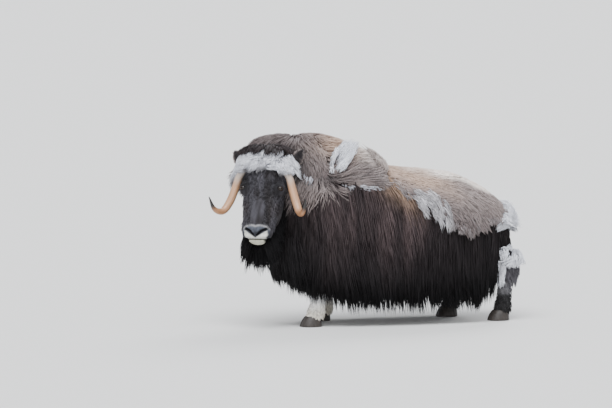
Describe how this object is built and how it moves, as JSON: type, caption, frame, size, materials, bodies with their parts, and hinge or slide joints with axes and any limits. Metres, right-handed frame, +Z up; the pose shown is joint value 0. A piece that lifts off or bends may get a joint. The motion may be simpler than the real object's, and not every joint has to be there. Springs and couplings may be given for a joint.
{
  "type": "muskox",
  "caption": "Life-size standing muskox with its head turned to its left, long skirt of hair, loose moulting wool and slim curved horns; a still display model.",
  "frame": {"origin": "middle of the whole model's box seen from above, on the floor under the hooves", "axes": "+X towards the rump along the body, the head towards -X; +Y towards the animal's right, so its left flank faces -Y; +Z up"},
  "size_m": [2.0388, 0.8128, 1.2126],
  "materials": {
    "guard_hair": "long coarse guard hair, near black, some brown streaks",
    "saddle_hair": "brown hair over the barrel, mostly under the coat",
    "cape_wool": "loose taupe wool in rounded clumps",
    "mat_wool": "felted pale brown wool with frayed edges",
    "white_wool": "loose white wool",
    "face_fur": "short dark grey-brown fur, pale lips",
    "ear_fur": "short dark fur",
    "leg_fur": "short pale fur",
    "hoof": "dull horny hoof",
    "horn": "smooth tan horn with a dark tip",
    "eye": "wet dark eye"
  },
  "bodies": {
    "root": {"torso": "saddle_hair", "neck": "guard_hair", "skirt_left": "guard_hair", "skirt_right": "guard_hair", "thigh_left": "guard_hair", "thigh_right": "guard_hair", "tail": "guard_hair", "ear_left": "ear_fur", "ear_right": "ear_fur", "cape": "cape_wool", "back_mat": "mat_wool", "rump_tuft": "white_wool", "forelock": "white_wool", "head": "face_fur", "leg_front_left": "leg_fur", "leg_front_right": "leg_fur", "leg_hind_left": "leg_fur", "leg_hind_right": "leg_fur", "hoof_front_left": "hoof", "hoof_front_right": "hoof", "hoof_hind_left": "hoof", "hoof_hind_right": "hoof", "horn_left": "horn", "horn_right": "horn", "eye_left": "eye", "eye_right": "eye"}
  },
  "joints": []
}
